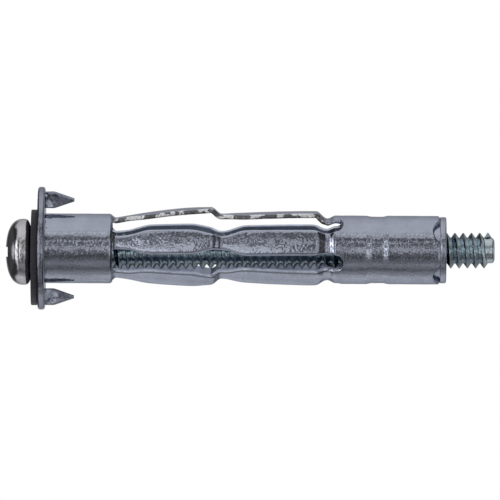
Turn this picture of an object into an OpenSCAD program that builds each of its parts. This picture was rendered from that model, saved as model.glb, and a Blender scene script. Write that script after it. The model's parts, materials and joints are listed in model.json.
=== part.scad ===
// Hollow wall anchor. Turning the screw draws the nut towards the flange,
// and the five legs of the slotted sleeve fold out behind the wall.
// Frame: the origin is the centre of the flange's wall side, +X runs along
// the screw into the wall, and +Z is up. All sizes are in millimetres.

/* [Flange] */
// Diameter of the flange plate
flange_d = 11.8; // [11.4:0.1:16]
// Thickness of the flange plate
flange_t = 0.7; // [0.6:0.05:1]
// Length of each prong beyond the flange
prong_length = 2.8; // [2:0.1:4]
// Distance of a prong's inner edge from the axis
prong_inner = 3.85; // [3.8:0.05:4]
// Width of a prong where it leaves the flange
prong_width = 1.6; // [1.2:0.1:1.7]
// Thickness of a prong
prong_t = 0.55; // [0.4:0.05:0.7]

/* [Sleeve] */
// Outer diameter of the front collar
collar_d = 6.69; // [6.6:0.01:6.8]
// Outer diameter of the tail collar
tail_d = 6.58; // [6.5:0.01:6.7]
// Thickness of the sleeve's sheet
wall = 0.46; // [0.4:0.01:0.5]
// Distance from the flange to the front folds
front_fold = 6.82; // [6.5:0.01:9]
// Length of each link between two folds
link_length = 10.13; // [8:0.01:12]
// Distance from the axis to the sheet's outside at the folds
fold_r = 3; // [2.9:0.01:3.05]
// Distance from the flange to the sleeve's tail end
sleeve_end = 37.85; // [36:0.05:38]

/* [Legs] */
// Height that a leg bows out in front of its middle fold
front_bow = 0.62; // [0.4:0.02:1]
// Height that a leg bows out behind its middle fold
rear_bow = 0.42; // [0.3:0.02:0.7]
// Height that the top leg bows out, which is more than the others
top_bow = 1.02; // [0.6:0.02:1.1]
// Height that the top leg bows out behind its middle fold
top_rear_bow = 0.68; // [0.4:0.02:0.8]
// Height of the top leg's middle fold above the others
top_lift = 0.4; // [0:0.02:0.44]
// Width of a leg at its front and middle folds
leg_narrow = 1.42; // [1:0.02:1.5]
// Width of a front link at its widest
front_wide = 2.5; // [2:0.05:2.6]
// Width of a rear link at its widest
rear_wide = 2.6; // [2:0.05:2.7]
// Width of a rear link where it meets the tail collar
rear_root = 2.2; // [2:0.05:2.3]
// Turn of the top leg away from straight up, in degrees
leg_turn = 5.8; // [0:0.1:36]

/* [Nut] */
// Outer diameter of the nut's end flange
nut_flange_d = 6.36; // [6:0.02:6.6]
// Thickness of the nut's end flange
nut_flange_t = 0.6; // [0.4:0.05:1]
// Length of the nut's body inside the tail collar
nut_body = 5; // [3:0.1:5]

/* [Screw] */
// Length of the screw under its head
screw_length = 44.45; // [42:0.05:50]
// Largest diameter of the thread
thread_d = 3.44; // [3.3:0.01:3.5]
// Distance between two turns of the thread
pitch = 0.79375; // [0.7:0.00005:0.8]
// Diameter of the head
head_d = 6.3; // [5.8:0.05:6.8]
// Height of the head
head_h = 2.43; // [2:0.01:2.6]
// Distance from the head's centre to a tip of its cross recess
recess_r = 1.95; // [1.6:0.05:2]
// Width of a wing of the cross recess
recess_w = 0.92; // [0.8:0.02:1]

/* [Washer] */
// Outer diameter of the loose washer
washer_d = 9.18; // [8.8:0.02:9.4]
// Thickness of the loose washer
washer_t = 0.62; // [0.5:0.01:0.64]
// Diameter of the washer's hole
washer_hole = 4.6; // [4.6:0.05:5]

/* [Hidden] */
$fn = 96;

leg_count = 5;
leg_pitch = 360 / leg_count;
middle_fold = front_fold + link_length;
rear_fold = middle_fold + link_length;
// Half of the gap that separates two pieces across a fold
gap = 0.02;
// Clearance round a cylinder that sits in a hole
fit = 0.02;
// Reach of a cutter past the surface that it cuts
over = 1;

collar_r = collar_d / 2;
tail_r = tail_d / 2;
flange_r = flange_d / 2;
rim_round = 0.25;
// The sleeve's flared end fills a countersink in the flange
flare = 0.3;
flare_depth = 0.35;
prong_reach = 0.86;
prong_tip = 0.12;
window_length = 2.5;

nose_start = 6.15;
front_slot_start = 6.44;
front_slot_round = 0.4;
rear_slot_end = 28.6;
tail_shoulder = 27.85;
groove_start = 30.9;
groove_end = 32.8;
groove_depth = 0.1;
groove_slope = 0.22;
groove_hollow = 0.02;
tail_roll = 0.16;
notch_r = 1.6;
notch_depth = 0.6;
notch_count = 4;
notch_turn = 10;

bow_crest = 0.9;
bow_power = 1.05;
rear_curl = 1.1;
leg_steps = 14;
arc_steps = 10;
leg_reach = 8;

nut_start = sleeve_end - nut_body;
nut_body_r = tail_r - wall - fit;
nut_bore_r = 1.84;
nut_round = 0.18;
nut_taper = 0.03;

washer_gap = 0.015;
washer_drop = 0.88;
head_start = -flange_t - washer_t - 2 * washer_gap;
tip = head_start + screw_length;
crest_r = thread_d / 2;
root_r = 1.25;
// The screw leans in the nut's clearance, so that its head hangs low
screw_lean = 0.45;
screw_sag = 0.06;
lean_x = 35.4;
tip_chamfer = 0.25;
thread_turns = 53;
thread_steps = 12;
thread_start = tip - tip_chamfer / 2 - thread_turns * pitch;
// Length over which the thread fades out at each end
fade = 0.7 * pitch;
// The plain core stays inside the flats of the faceted thread root
core_r = root_r * cos(180 / thread_steps) - 0.03;
head_power = 2.35;
head_round = 0.4;
head_steps = 12;
recess_depth = 1.7;
recess_bottom = 0.7;

// Rises smoothly from 0 at a to 1 at b
function ease(x, a, b) =
    let (u = min(1, max(0, (x - a) / (b - a))))
    (1 - cos(180 * u)) / 2;

// The outside of a front link: a long bow, then a step down to its middle fold
function front_height(x, bow, lift) =
    let (crest = front_fold + bow_crest * link_length)
    x < crest
        ? fold_r + bow * sin(90 * pow(max(0, x - front_fold) / (crest - front_fold), bow_power))
        : fold_r + lift + (bow - lift) * (1 - ease(x, crest, middle_fold));

// The outside of a rear link: a flatter bow that curls in at the tail collar
function rear_height(x, bow, lift) =
    let (crest = rear_fold - rear_curl)
    x < crest
        ? fold_r + lift + (bow - lift)
            * sin(90 * pow(max(0, x - middle_fold) / (crest - middle_fold), bow_power))
        : fold_r + bow * (1 - ease(x, crest, rear_fold));

function front_half_width(x) =
    let (
        swell = ease(x, front_fold + 0.7, front_fold + 3.4),
        waist = ease(x, middle_fold - 3.2, middle_fold)
    )
    (leg_narrow + (front_wide - leg_narrow) * (swell - waist)) / 2;

function rear_half_width(x) =
    let (
        swell = ease(x, middle_fold, middle_fold + 2.4),
        waist = ease(x, rear_fold - 1.6, rear_fold)
    )
    (leg_narrow + (rear_wide - leg_narrow) * swell - (rear_wide - rear_root) * waist) / 2;

function front_stations() =
    [for (i = [0:leg_steps]) front_fold + gap + (link_length - 2 * gap) * i / leg_steps];

function rear_stations() =
    [for (i = [0:leg_steps]) middle_fold + gap + (link_length - 2 * gap) * i / leg_steps];

function backwards(list) =
    [for (i = [len(list) - 1:-1:0]) list[i]];

// Points of a line one wall thickness under the outside, square to it
function underside(stations, heights, slopes) =
    [for (i = [0:len(stations) - 1])
        [stations[i] + wall * sin(slopes[i]), heights[i] - wall * cos(slopes[i])]];

// Angle of a line of heights at each station, level at both ends
function slopes_of(stations, heights) =
    [for (i = [0:len(stations) - 1])
        i == 0 || i == len(stations) - 1
            ? 0
            : atan((heights[i + 1] - heights[i - 1]) / (stations[i + 1] - stations[i - 1]))];

// Stands a side view, drawn in x and distance from the axis, along the XZ plane
module across(width) {
    rotate([90, 0, 0])
        translate([0, 0, -width / 2])
            linear_extrude(width)
                children();
}

// Turns a profile, drawn in x and distance from the axis, about the X axis
module lathe() {
    rotate([0, 90, 0])
        rotate_extrude()
            rotate(90)
                mirror([0, 1])
                    children();
}

// Copies a shape at the bearing of leg number 1 to 5
module at_leg(number) {
    rotate([leg_turn + leg_pitch * (number - 1), 0, 0])
        children();
}

// One link: its bent side view, trimmed to its outline seen from outside
module link(stations, heights, half_widths) {
    last = len(stations) - 1;
    slopes = slopes_of(stations, heights);
    top = [for (i = [0:last]) [stations[i], heights[i]]];
    bottom = underside(stations, heights, slopes);
    left = [for (i = [0:last]) [stations[i], half_widths[i]]];
    right = [for (i = [0:last]) [stations[i], -half_widths[i]]];
    intersection() {
        across(leg_reach)
            polygon(concat(top, backwards(bottom)));
        linear_extrude(leg_reach)
            polygon(concat(left, backwards(right)));
    }
}

module front_leg(number) {
    bow = number == 1 ? top_bow : front_bow;
    lift = number == 1 ? top_lift : 0;
    stations = front_stations();
    color("silver")
        at_leg(number)
            link(
                stations,
                [for (x = stations) front_height(x, bow, lift)],
                [for (x = stations) front_half_width(x)]
            );
}

module rear_leg(number) {
    bow = number == 1 ? top_rear_bow : rear_bow;
    lift = number == 1 ? top_lift : 0;
    stations = rear_stations();
    color("silver")
        at_leg(number)
            link(
                stations,
                [for (x = stations) rear_height(x, bow, lift)],
                [for (x = stations) rear_half_width(x)]
            );
}

// Copies a cutter into each gap between two legs
module between_legs() {
    for (number = [1:leg_count])
        rotate([leg_turn + leg_pitch * (number - 0.5), 0, 0])
            children();
}

// Plate outline with its rounded rim, as a profile from the hole outwards
module flange_profile() {
    hole_r = collar_r + fit;
    difference() {
        union() {
            translate([-flange_t, 0])
                square([flange_t, flange_r - rim_round]);
            translate([-flange_t + rim_round, 0])
                square([flange_t - 2 * rim_round, flange_r]);
            for (x = [-flange_t + rim_round, -rim_round])
                translate([x, flange_r - rim_round])
                    circle(rim_round);
        }
        translate([-flange_t - over, -over])
            square([flange_t + 2 * over, hole_r + over]);
        polygon([
            [-flange_t + flare_depth, hole_r],
            [-flange_t, hole_r + flare],
            [-flange_t - over, hole_r + flare],
            [-flange_t - over, hole_r - over],
            [-flange_t + flare_depth, hole_r - over]
        ]);
    }
}

// Outline of a prong, from its root at 0 to its point at length
module prong_outline(length) {
    polygon([
        [0, 0],
        [prong_reach, 0],
        [length, prong_width / 2 - prong_tip],
        [length, prong_width / 2 + prong_tip],
        [prong_reach, prong_width],
        [0, prong_width]
    ]);
}

module flange_plate() {
    color("lightgray") {
        difference() {
            lathe()
                flange_profile();
            for (side = [0, 180])
                rotate([side, 0, 0])
                    translate([-flange_t - over, -prong_t / 2, prong_inner])
                        rotate([90, 0, 90])
                            linear_extrude(flange_t + 2 * over)
                                mirror([1, 0])
                                    prong_outline(window_length);
        }
        for (side = [0, 180])
            rotate([side, 0, 0])
                translate([0, 0, prong_inner])
                    across(prong_t)
                        union() {
                            translate([-flange_t / 2, 0])
                                square([flange_t / 2, prong_width]);
                            prong_outline(prong_length);
                        }
    }
}

module front_collar() {
    steps = 6;
    nose = [for (i = [0:steps])
        let (x = nose_start + (front_fold - gap - nose_start) * i / steps)
        [x, collar_r - (collar_r - fold_r) * ease(x, nose_start, front_fold)]];
    inside = [for (p = backwards(nose)) [p[0], p[1] - wall]];
    color("silver")
        difference() {
            lathe()
                polygon(concat(
                    [
                        [-flange_t, collar_r + flare - fit],
                        [-flange_t + flare_depth, collar_r]
                    ],
                    nose,
                    inside,
                    [
                        [-flange_t + flare_depth, collar_r - wall],
                        [-flange_t, collar_r + flare - wall]
                    ]
                ));
            between_legs()
                linear_extrude(leg_reach)
                    front_slot_outline();
        }
}

// Points of an arc from one angle to another about a centre
function arc(centre, r, from, to) =
    [for (i = [0:arc_steps])
        let (a = from + (to - from) * i / arc_steps)
        [centre[0] + r * cos(a), centre[1] + r * sin(a)]];

// Half width of a slot that leaves a leg root of a given width at each side
function slot_half(root) =
    fold_r * sin(leg_pitch / 2 - asin(root / 2 / fold_r));

// A slot's square start with rounded corners, wide enough to leave the leg roots
module front_slot_outline() {
    half = slot_half(leg_narrow);
    corner_x = front_slot_start + front_slot_round;
    corner_y = half - front_slot_round;
    polygon(concat(
        arc([corner_x, corner_y], front_slot_round, 90, 180),
        arc([corner_x, -corner_y], front_slot_round, 180, 270),
        [[front_fold + over, -half], [front_fold + over, half]]
    ));
}

// A slot's round end in the tail collar
module rear_slot_outline() {
    half = slot_half(rear_root);
    polygon(concat(
        arc([rear_slot_end - half, 0], half, -90, 90),
        [[rear_fold - over, half], [rear_fold - over, -half]]
    ));
}

module tail_collar() {
    steps = 6;
    shoulder = [for (i = [0:steps])
        let (x = rear_fold + gap + (tail_shoulder - rear_fold - gap) * i / steps)
        [x, fold_r + (tail_r - fold_r) * ease(x, rear_fold, tail_shoulder)]];
    groove = [
        [groove_start, tail_r],
        [groove_start + groove_slope, tail_r - groove_depth],
        [(groove_start + groove_end) / 2, tail_r - groove_depth - groove_hollow],
        [groove_end - groove_slope, tail_r - groove_depth],
        [groove_end, tail_r]
    ];
    end = [[sleeve_end - tail_roll, tail_r], [sleeve_end, tail_r - tail_roll]];
    inside = [
        [sleeve_end, tail_r - wall],
        for (p = backwards(concat(shoulder, groove))) [p[0], p[1] - wall]
    ];
    color("silver")
        difference() {
            lathe()
                polygon(concat(shoulder, groove, end, inside));
            between_legs()
                linear_extrude(leg_reach)
                    rear_slot_outline();
            for (i = [0:notch_count - 1])
                rotate([(i + 0.5) * 360 / notch_count + notch_turn, 0, 0])
                    translate([sleeve_end - notch_depth + notch_r, 0, 0])
                        cylinder(r = notch_r, h = leg_reach);
        }
}

module nut() {
    flange_start = sleeve_end + gap;
    nut_end = flange_start + nut_flange_t;
    edge_r = nut_flange_d / 2;
    color("lightsteelblue")
        lathe()
            polygon(concat(
                [
                    [nut_start, nut_bore_r],
                    [nut_start, nut_body_r],
                    [flange_start, nut_body_r],
                    [flange_start, edge_r - nut_taper]
                ],
                arc([nut_end - nut_round, edge_r - nut_round], nut_round, 90, 0),
                [[nut_end, nut_bore_r]]
            ));
}

module washer() {
    start = -flange_t - washer_gap - washer_t;
    color("dimgray")
        translate([start, 0, -washer_drop])
            rotate([0, 90, 0])
                difference() {
                    cylinder(d = washer_d, h = washer_t);
                    translate([0, 0, -over])
                        cylinder(d = washer_hole, h = washer_t + 2 * over);
                }
}

// The pan head, domed on top and rounded underneath, with a plain neck below it
module head_and_neck() {
    dome_base = head_start - head_h * 0.4;
    dome_h = head_h * 0.6;
    dome = [for (i = [0:head_steps])
        let (u = sin(90 * i / head_steps))
        [dome_base - dome_h * u, head_d / 2 * pow(1 - pow(u, head_power), 1 / head_power)]];
    lathe()
        union() {
            polygon(concat(
                [
                    [head_start, 0],
                    [head_start, head_d / 2 - 2 * head_round],
                    [head_start - head_round, head_d / 2 - head_round / 4]
                ],
                dome
            ));
            translate([head_start - gap, 0])
                square([thread_start + 2 * pitch - head_start, core_r]);
        }
}

// A wing of the cross recess runs in to a smaller bottom
module cross_recess() {
    top = head_start - head_h - over;
    bottom = head_start - head_h + recess_depth;
    spread = recess_r + (recess_r - recess_bottom) * over / recess_depth;
    for (turn = [0, 90])
        rotate([turn, 0, 0])
            across(recess_w)
                polygon([
                    [top, -spread],
                    [bottom, -recess_bottom],
                    [bottom, recess_bottom],
                    [top, spread]
                ]);
}

// Place along the screw of one point on the helical ridge
function thread_x(row, step) =
    thread_start + (row / 2 + step / thread_steps) * pitch;

// Even rows run along the root, and odd rows along the crest, which fades at both ends
function thread_r(row, x) =
    row % 2 == 0
        ? root_r
        : root_r + (crest_r - root_r)
            * ease(x, thread_start, thread_start + fade) * (1 - ease(x, tip - fade, tip));

// Number of the point at a row and step: a full turn moves on by two rows
function thread_id(row, step) =
    step < thread_steps ? row * thread_steps + step : (row + 2) * thread_steps;

// A right-hand helical ridge, closed at each end by a fan round a point on the axis
module thread() {
    rows = 2 * (thread_turns - 1);
    last = thread_steps - 1;
    points = [for (row = [0:rows], step = [0:last])
        let (x = thread_x(row, step), r = thread_r(row, x), turn = 360 * step / thread_steps)
        [x, -r * sin(turn), r * cos(turn)]];
    near = len(points);
    far = near + 1;
    sides = [for (row = [0:rows - 1], step = [0:last])
        if (step < last || row <= rows - 3)
            each [
                [thread_id(row, step), thread_id(row + 1, step), thread_id(row, step + 1)],
                [thread_id(row, step + 1), thread_id(row + 1, step), thread_id(row + 1, step + 1)]
            ]];
    near_loop = [for (step = [0:thread_steps]) thread_id(0, step), thread_id(1, 0)];
    far_loop = [
        for (step = [0:last]) thread_id(rows, step),
        thread_id(rows - 1, last),
        thread_id(rows - 2, last)
    ];
    near_cap = [for (i = [0:len(near_loop) - 1])
        [near, near_loop[i], near_loop[(i + 1) % len(near_loop)]]];
    far_cap = [for (i = [0:len(far_loop) - 1])
        [far, far_loop[(i + 1) % len(far_loop)], far_loop[i]]];
    polyhedron(
        concat(points, [[thread_x(0, 0), 0, 0], [thread_x(rows, last), 0, 0]]),
        concat(sides, near_cap, far_cap)
    );
}

// The chamfered end of the screw's core
module core_tip() {
    lathe()
        polygon([
            [tip - 2 * pitch, 0],
            [tip - 2 * pitch, core_r],
            [tip - tip_chamfer, core_r],
            [tip, core_r - tip_chamfer],
            [tip, 0]
        ]);
}

module screw() {
    color("gray")
        translate([lean_x, 0, -screw_sag])
            rotate([0, -screw_lean, 0])
                translate([-lean_x, 0, 0])
                    difference() {
                        union() {
                            head_and_neck();
                            thread();
                            core_tip();
                        }
                        cross_recess();
                    }
}

flange_plate();
front_collar();
front_leg(1);  // front_leg_1
front_leg(2);  // front_leg_2
front_leg(3);  // front_leg_3
front_leg(4);  // front_leg_4
front_leg(5);  // front_leg_5
rear_leg(1);  // rear_leg_1
rear_leg(2);  // rear_leg_2
rear_leg(3);  // rear_leg_3
rear_leg(4);  // rear_leg_4
rear_leg(5);  // rear_leg_5
tail_collar();
nut();
washer();
screw();
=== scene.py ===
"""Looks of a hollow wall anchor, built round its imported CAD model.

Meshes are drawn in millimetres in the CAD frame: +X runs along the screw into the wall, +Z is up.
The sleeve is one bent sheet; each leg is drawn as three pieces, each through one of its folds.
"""

import json
import math

import bmesh
import bpy
from mathutils import Matrix, Vector, noise


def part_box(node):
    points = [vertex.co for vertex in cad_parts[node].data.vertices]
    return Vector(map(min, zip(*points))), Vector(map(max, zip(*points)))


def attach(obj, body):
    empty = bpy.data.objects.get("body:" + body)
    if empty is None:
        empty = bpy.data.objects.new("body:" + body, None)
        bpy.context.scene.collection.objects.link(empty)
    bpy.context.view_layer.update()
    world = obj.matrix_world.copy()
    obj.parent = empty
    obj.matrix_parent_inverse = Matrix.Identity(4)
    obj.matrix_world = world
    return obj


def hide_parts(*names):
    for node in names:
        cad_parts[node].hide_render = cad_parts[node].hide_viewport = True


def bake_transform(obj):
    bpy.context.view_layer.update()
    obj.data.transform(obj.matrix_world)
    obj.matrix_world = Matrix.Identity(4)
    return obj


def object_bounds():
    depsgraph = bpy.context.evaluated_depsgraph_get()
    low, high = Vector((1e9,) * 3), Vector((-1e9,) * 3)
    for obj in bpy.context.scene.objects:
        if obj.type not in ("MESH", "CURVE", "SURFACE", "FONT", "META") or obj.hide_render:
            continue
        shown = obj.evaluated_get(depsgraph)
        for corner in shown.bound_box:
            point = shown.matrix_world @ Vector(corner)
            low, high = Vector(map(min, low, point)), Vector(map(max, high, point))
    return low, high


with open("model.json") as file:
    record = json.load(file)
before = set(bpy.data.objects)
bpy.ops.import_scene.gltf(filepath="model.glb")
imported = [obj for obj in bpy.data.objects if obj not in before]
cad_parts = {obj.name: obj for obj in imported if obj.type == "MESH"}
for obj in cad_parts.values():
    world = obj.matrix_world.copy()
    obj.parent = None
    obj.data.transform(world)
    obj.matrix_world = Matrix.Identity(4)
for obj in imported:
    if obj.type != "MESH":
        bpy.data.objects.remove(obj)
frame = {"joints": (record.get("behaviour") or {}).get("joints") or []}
cad_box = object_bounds()

MM = 0.001
JOINTS = {j["name"]: j for j in frame["joints"]}


def box_mm(node):
    """Lowest and highest corner of a CAD node, in millimetres."""
    low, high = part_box(node)
    return low / MM, high / MM


# Places along the screw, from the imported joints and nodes
FRONT_FOLD = JOINTS["front_fold_2"]["pos_m"][0] / MM
MIDDLE_FOLD = JOINTS["middle_fold_2"]["pos_m"][0] / MM
REAR_FOLD = JOINTS["rear_fold_2"]["pos_m"][0] / MM
LINK = MIDDLE_FOLD - FRONT_FOLD
FOLD_R = math.hypot(*JOINTS["front_fold_2"]["pos_m"][1:]) / MM
WALL = FOLD_R - math.hypot(*JOINTS["middle_fold_2"]["pos_m"][1:]) / MM

FLANGE_LOW, FLANGE_HIGH = box_mm("flange_plate")
FLANGE_R = FLANGE_HIGH.z
FLANGE_BACK = FLANGE_LOW.x
PRONG_TIP_X = FLANGE_HIGH.x

# The collar's front edge flares this far out and along, into the flange's countersink
COLLAR_FLARE = 0.28
FLARE_DEPTH = 0.35
COLLAR_R = box_mm("front_collar")[1].z - COLLAR_FLARE

TAIL_HIGH = box_mm("tail_collar")[1]
TAIL_R = TAIL_HIGH.z
SLEEVE_END = TAIL_HIGH.x
NUT_LOW, NUT_HIGH = box_mm("nut")
WASHER_LOW, WASHER_HIGH = box_mm("washer")
SCREW_HIGH = box_mm("screw")[1]

# The slots between the legs: the front ones have round corners and the rear ones round ends
LEGS = 5
SECTOR = 2 * math.pi / LEGS
LEG_TURN = math.radians(5.8)
NOSE_START = 6.15
FRONT_SLOT = 6.44
FRONT_CORNER = 0.4
REAR_SLOT = 28.6
SHOULDER = 27.85

# The legs' widths, and how far from each fold they widen and narrow
LEG_NARROW = 1.42
FRONT_WIDE = 2.5
FRONT_SWELL = (0.7, 3.4)
FRONT_WAIST = 3.2
REAR_WIDE = 2.6
REAR_SWELL = 2.4
REAR_WAIST = 1.6
REAR_ROOT = 2.2

# The legs' bows, as heights over the folds, and where they are highest
FRONT_BOW = 0.62
REAR_BOW = 0.42
TOP_BOW = 1.02
TOP_REAR_BOW = 0.68
TOP_LIFT = 0.4
BOW_CREST = 0.9
BOW_POWER = 1.05
REAR_CURL = 1.1

# The legs are pressed flatter than the tube that they were cut from, with round edges
FLAT_R = 9.0
FLAT_FADE = 1.2
EDGE_ROUND = 0.28
INNER_ROUND = 0.1
EDGE_FADE = 0.4
EDGE_LEAST = 0.04

# How finely the sleeve is drawn
STEP = 0.25
NOSE_STEP = 0.08
GROOVE_STEP = 0.1
ROLL_STEP = 0.04
COLLAR_STEPS = 160
COLUMNS = 10
EDGE_STEPS = 6
CORNER_STEPS = 6
SLOT_END_STEPS = 8
BEND_STEPS = 14
KNUCKLE_STEPS = 6

# Where a leg's three pieces meet, how far each fold's bend reaches, and how far a leg folds
FRONT_CUT = 11.5
REAR_CUT = 22.0
FRONT_BEND = 0.36
MIDDLE_BEND = 0.55
REAR_BEND = 0.36
FOLD_LIMIT = math.radians(80)
KNUCKLE_GAP = 0.03

# A sheet piece's materials: its plated outside, its cut edges and its inside, the last two painted
# brighter than the plating
OUTSIDE = 0
CUT = 1
INSIDE = 2
# Columns along each edge of a leg that count as its cut edge, and so take its painted brightness
CUT_COLUMNS = 4

# The tail collar's crimped groove and scalloped end
GROOVE = (30.7, 33.0)
GROOVE_DEPTH = 0.1
GROOVE_SLOPE = 0.7
SCALLOP_R = 1.6
SCALLOP_DEPTH = 0.6
SCALLOPS = 4
SCALLOP_TURN = math.radians(10)
SCALLOP_GATHER = 2.2
END_ROLL = 0.16

# The screw, which leans in the nut's clearance
SPIN = JOINTS["screw_spin"]
LEAN = Vector((1, 0, 0)).rotation_difference(Vector(SPIN["axis"])).to_matrix().to_4x4()
LEAN_AT = Vector(SPIN["pos_m"]) / MM
SCREW_LENGTH = 44.45
HEAD_SEAT = SCREW_HIGH.x - SCREW_LENGTH
PITCH = 0.79375
THREAD_R = 1.72
ROOT_R = 1.25
# The core inside the thread is a little thinner, so that the two don't share a surface
CORE_R = ROOT_R - 0.03
TURNS = 53
THREAD_STOP = 0.22
THREAD_FADE = 0.4 * PITCH
THREAD_STEPS = 48
# One pitch of the thread, as (share of the pitch, share of the thread's height)
THREAD_PROFILE = [(0.0, 0.0), (0.07, 0.05), (0.43, 0.93), (0.5, 1.0), (0.57, 0.93), (0.93, 0.05)]
# The tip's rounding, as (distance from the tip, drop from the core)
TIP_PROFILE = [(0.25, 0), (0.1, 0.08), (0, 0.3)]
# The pan head is a dome down to its waist, where it is widest, and a tighter curve under it
HEAD_R = 3.17
HEAD_H = 2.43
HEAD_WAIST = 0.73
DOME_POWER = 2.4
UNDER_POWER = 3.3
UNDER_REACH = 0.82
NECK_FILLET = 0.2
DOME_STEPS = 28
UNDER_STEPS = 14
SCREW_STEPS = 96
RECESS_R = 1.95
RECESS_W = 0.92
RECESS_DEPTH = 1.7
RECESS_BOTTOM = 0.7

# Edges shorter than this are dropped where a cut leaves slivers
SLIVER = 0.002


def ease(x, a, b):
    """Rises smoothly from 0 at a to 1 at b."""
    u = min(1.0, max(0.0, (x - a) / (b - a)))
    return (1 - math.cos(math.pi * u)) / 2


def spaced(a, b, step):
    """Even places from a to b, no further apart than step."""
    count = max(1, math.ceil((b - a) / step))
    return [a + (b - a) * i / count for i in range(count + 1)]


# ---------------------------------------------------------------- mesh tools


def place(x, across, height, bearing):
    """A point drawn at the top of the sleeve, turned about the X axis to its bearing."""
    c, s = math.cos(bearing), math.sin(bearing)
    return Vector((x, across * c - height * s, across * s + height * c))


def ripple(co, size=0.012):
    """Moves a point in or out by the small dents that stamping leaves, long ones and short ones."""
    radial = Vector((0, co.y, co.z))
    if radial.length < 0.1:
        return co
    dent = noise.noise(co * 0.9) + 0.5 * noise.noise(co * 2.3)
    return co + radial.normalized() * dent * size


def add_grid(bm, rows, material, edge=0):
    """Quads between rows of vertices. The first and last edge columns are cut metal."""
    for a, b in zip(rows, rows[1:]):
        last = len(a) - 1
        for j in range(last):
            face = bm.faces.new([a[j], a[j + 1], b[j + 1], b[j]])
            face.material_index = CUT if min(j, last - 1 - j) < edge else material


def add_sheet(bm, sections, walled, edge=0):
    """A bent sheet, closed at its first and last section. Each section is (outer points, inner
    points), and walled says between which sections the sheet has cut sides."""
    outer = [[bm.verts.new(p) for p in out] for out, _ in sections]
    inner = [[bm.verts.new(p) for p in ins] for _, ins in sections]
    add_grid(bm, outer, OUTSIDE, edge)
    add_grid(bm, inner, INSIDE, edge)
    for side in (0, -1):
        for i, wall in enumerate(walled):
            if wall:
                near = [outer[i][side], outer[i + 1][side]]
                far = [inner[i + 1][side], inner[i][side]]
                bm.faces.new(near + far).material_index = CUT
    for end in (0, -1):
        add_grid(bm, [outer[end], inner[end]], CUT)


def add_lathe(bm, profile, steps, cut=()):
    """Turns a closed profile of (x, radius) about the X axis. cut lists the profile's
    segments that are the sheet's cut edge."""
    rings = []
    for i in range(steps):
        turn = 2 * math.pi * i / steps
        rings.append([bm.verts.new(place(x, 0, r, turn)) for x, r in profile])
    for a, b in zip(rings, rings[1:] + rings[:1]):
        for j in range(len(profile)):
            k = (j + 1) % len(profile)
            face = bm.faces.new([a[j], a[k], b[k], b[j]])
            face.material_index = CUT if j in cut else OUTSIDE


def to_object(name, bm):
    """Turns a mesh drawn in millimetres into an object in metres."""
    bmesh.ops.recalc_face_normals(bm, faces=bm.faces[:])
    bmesh.ops.scale(bm, vec=(MM, MM, MM), verts=bm.verts[:])
    mesh = bpy.data.meshes.new(name)
    bm.to_mesh(mesh)
    bm.free()
    obj = bpy.data.objects.new(name, mesh)
    bpy.context.scene.collection.objects.link(obj)
    return obj


def new_piece(name, bm, materials, nodes):
    """Turns a mesh into a visible piece that stands for CAD nodes."""
    piece = to_object(name, bm)
    for material in materials:
        piece.data.materials.append(material)
    smooth(piece.data)
    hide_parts(*nodes)
    return piece


def smooth(mesh):
    """Smooth shading that keeps corners over 40 degrees sharp."""
    mesh.shade_smooth()
    mesh.set_sharp_from_angle(angle=math.radians(40))


def subtract(obj, cutters):
    """Cuts each cutter out of obj, drops the slivers that this leaves, and removes the cutters."""
    for cutter in cutters:
        modifier = obj.modifiers.new("cut", "BOOLEAN")
        modifier.object = cutter
        modifier.operation = "DIFFERENCE"
        modifier.solver = "EXACT"
    bpy.context.view_layer.update()
    evaluated = obj.evaluated_get(bpy.context.evaluated_depsgraph_get())
    bm = bmesh.new()
    bm.from_mesh(bpy.data.meshes.new_from_object(evaluated))
    bmesh.ops.dissolve_degenerate(bm, dist=SLIVER * MM, edges=bm.edges[:])
    obj.modifiers.clear()
    bm.to_mesh(obj.data)
    bm.free()
    for cutter in cutters:
        bpy.data.objects.remove(cutter)
    smooth(obj.data)


def prism(name, low, high):
    """A closed cutter between two outlines that match point for point."""
    bm = bmesh.new()
    rows = [[bm.verts.new(point) for point in end] for end in (low, high)]
    bm.faces.new(rows[0])
    bm.faces.new(rows[1][::-1])
    for j in range(len(low)):
        k = (j + 1) % len(low)
        bm.faces.new([rows[0][j], rows[1][j], rows[1][k], rows[0][k]])
    return to_object(name, bm)


# ---------------------------------------------------------------- materials

ZINC = (0.44, 0.47, 0.57)
# Plating dulls what it reflects at a glancing angle
RIM_TINT = (0.55, 0.56, 0.6)
# How dents are stretched: not at all, or along the screw's axis
ROUND = (1, 1, 1)
ALONG = (0.5, 1.5, 1.5)


class Nodes:
    """Adds nodes to a tree. An input is a value, or another node's socket to link."""

    def __init__(self, tree):
        self.tree = tree
        tree.nodes.clear()

    def add(self, kind, inputs=None, **settings):
        node = self.tree.nodes.new(kind)
        for key, value in settings.items():
            setattr(node, key, value)
        for key, value in (inputs or {}).items():
            if isinstance(value, bpy.types.NodeSocket):
                self.tree.links.new(value, node.inputs[key])
            else:
                node.inputs[key].default_value = value
        return node

    def math(self, operation, a, b=0.0):
        return self.add("ShaderNodeMath", {0: a, 1: b}, operation=operation).outputs[0]

    def ramp(self, factor, stops):
        """A colour ramp. Each stop is (place, grey) or (place, (r, g, b))."""
        node = self.add("ShaderNodeValToRGB", {0: factor})
        elements = node.color_ramp.elements
        while len(elements) < len(stops):
            elements.new(0.5)
        for element, (at, value) in zip(elements, stops):
            element.position = at
            colour = (value,) * 3 if isinstance(value, (int, float)) else value
            element.color = (*colour, 1)
        return node.outputs["Color"]


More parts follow.
